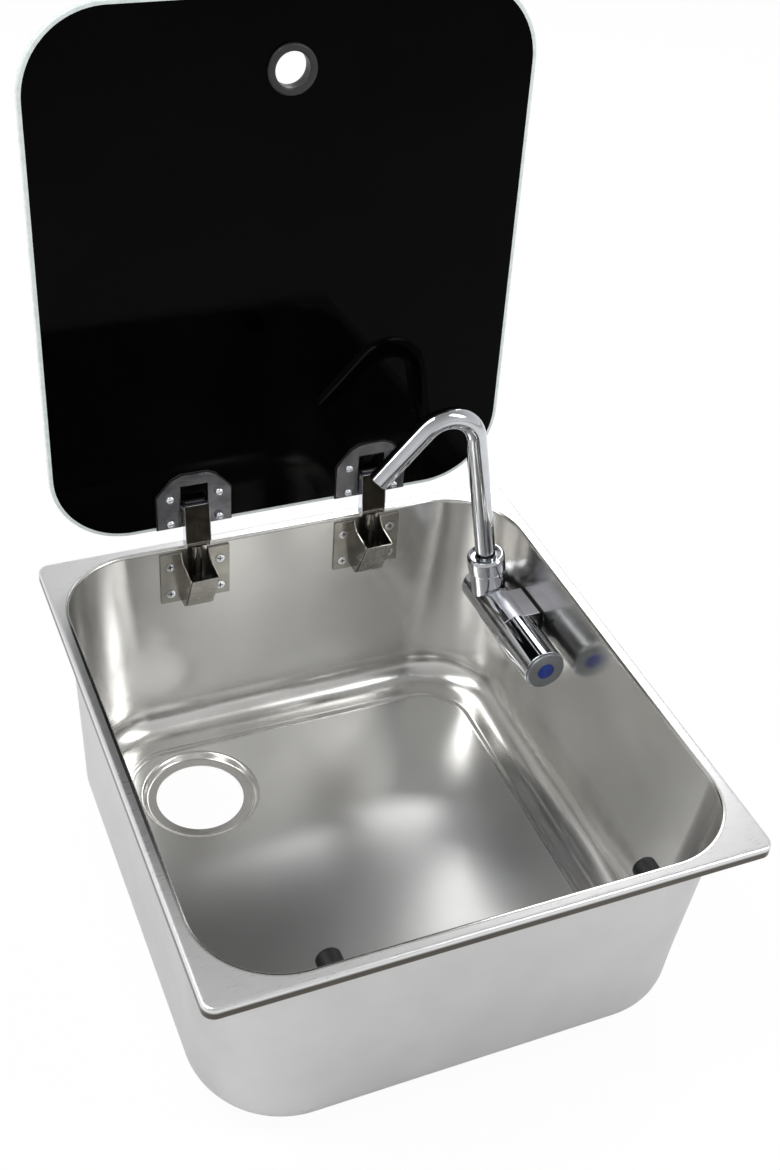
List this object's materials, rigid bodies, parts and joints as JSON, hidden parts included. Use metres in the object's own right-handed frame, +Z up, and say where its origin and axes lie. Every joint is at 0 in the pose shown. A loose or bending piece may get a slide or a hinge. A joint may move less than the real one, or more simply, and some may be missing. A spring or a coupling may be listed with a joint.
{
  "type": "sink with folding glass lid",
  "caption": "Rectangular pressed steel sink bowl with a black glass lid that lifts and folds shut over it, and a folding cold water tap inside.",
  "frame": {"origin": "centre of the floor panel's flat underside", "axes": "+Z up, +X to the right seen from the front, +Y to the back where the lid hinges"},
  "size_m": [0.4204, 0.4532, 0.6239],
  "materials": {
    "steel_sheet": "satin pressed stainless sheet",
    "black_glass": "black tempered glass with a polished edge",
    "black_rubber": "matt moulded rubber",
    "black_plastic": "matt moulded plastic",
    "chrome_plate": "bright chrome plate",
    "grey_steel": "dark stamped steel",
    "nickel_steel": "satin stamped steel",
    "bright_steel": "bright steel fastener",
    "brass_part": "turned brass",
    "grey_cap": "satin grey plated plastic",
    "blue_mark": "glossy blue plastic"
  },
  "bodies": {
    "sink": {"sink_bowl": "steel_sheet", "bumper_left": "black_rubber", "bumper_right": "black_rubber", "left_wall_box": "nickel_steel", "left_cover": "nickel_steel", "left_guide_bush": "black_plastic", "left_wall_screw_1": "bright_steel", "left_wall_screw_2": "bright_steel", "left_wall_screw_3": "bright_steel", "left_wall_screw_4": "bright_steel", "right_wall_box": "nickel_steel", "right_cover": "nickel_steel", "right_guide_bush": "black_plastic", "right_wall_screw_1": "bright_steel", "right_wall_screw_2": "bright_steel", "right_wall_screw_3": "bright_steel", "right_wall_screw_4": "bright_steel", "tap_gasket": "black_rubber", "tap_housing": "chrome_plate", "tap_shank": "brass_part", "tap_washer": "black_rubber", "tap_lock_nut": "brass_part", "tap_inlet_tail": "brass_part", "valve_cartridge": "brass_part"},
    "left_rod": {"left_rod": "bright_steel"},
    "left_arm": {"left_arm": "chrome_plate", "left_rod_pin": "bright_steel", "left_lid_pin": "bright_steel"},
    "lid": {"glass_lid": "black_glass", "grommet_front": "black_plastic", "grommet_back": "black_plastic", "left_pad": "black_plastic", "left_bracket": "grey_steel", "left_stud_1": "bright_steel", "left_stud_2": "bright_steel", "left_stud_3": "bright_steel", "left_stud_4": "bright_steel", "right_pad": "black_plastic", "right_bracket": "grey_steel", "right_stud_1": "bright_steel", "right_stud_2": "bright_steel", "right_stud_3": "bright_steel", "right_stud_4": "bright_steel"},
    "right_rod": {"right_rod": "bright_steel"},
    "right_arm": {"right_arm": "chrome_plate", "right_rod_pin": "bright_steel", "right_lid_pin": "bright_steel"},
    "tap_arm": {"knuckle": "chrome_plate", "o_ring": "black_rubber", "collar_nut": "chrome_plate", "spout_bush": "black_plastic"},
    "spout": {"spout": "chrome_plate"},
    "tap_handle": {"handle": "chrome_plate", "handle_screw": "bright_steel", "handle_cap": "grey_cap", "cold_mark": "blue_mark"}
  },
  "joints": [
    {"name": "left_rod_slide", "type": "slide", "parent": "sink", "child": "left_rod", "axis": [0, 0, -1], "range_m": [0, 0.04538]},
    {"name": "left_arm_swing", "type": "hinge", "parent": "left_rod", "child": "left_arm", "pos_m": [-0.075, 0.2015, 0.19729], "axis": [1, 0, 0], "range_deg": [0, 41.94]},
    {"name": "lid_fold", "type": "hinge", "parent": "left_arm", "child": "lid", "pos_m": [-0.075, 0.20603, 0.22897], "axis": [1, 0, 0], "range_deg": [0, 50.43]},
    {"name": "right_rod_slide", "type": "slide", "parent": "sink", "child": "right_rod", "axis": [0, 0, -1], "range_m": [0, 0.04538]},
    {"name": "right_arm_swing", "type": "hinge", "parent": "right_rod", "child": "right_arm", "pos_m": [0.075, 0.2015, 0.19729], "axis": [1, 0, 0], "range_deg": [0, 41.94]},
    {"name": "tap_fold", "type": "hinge", "parent": "sink", "child": "tap_arm", "pos_m": [0.1665, 0.14597, 0.12552], "axis": [0, -0.999, 0.0436], "range_deg": [0, 80]},
    {"name": "spout_swivel", "type": "hinge", "parent": "tap_arm", "child": "spout", "pos_m": [0.1665, 0.14597, 0.12552], "axis": [-0.1736, 0.043, 0.9839], "range_deg": [-15, 100]},
    {"name": "handle_turn", "type": "hinge", "parent": "sink", "child": "tap_handle", "pos_m": [0.1665, 0.05006, 0.1297], "axis": [0, -0.999, 0.0436], "range_deg": [0, 90]}
  ],
  "couplings": [
    {"joint": "lid_fold", "follows": "left_rod_slide", "rad_per_m": 19.396},
    {"joint": "left_arm_swing", "follows": "left_rod_slide", "rad_per_m": 16.13},
    {"joint": "right_rod_slide", "follows": "left_rod_slide", "ratio": 1},
    {"joint": "right_arm_swing", "follows": "left_rod_slide", "rad_per_m": 16.13},
    {"joint": "tap_fold", "follows": "left_rod_slide", "rad_per_m": 30.768}
  ]
}
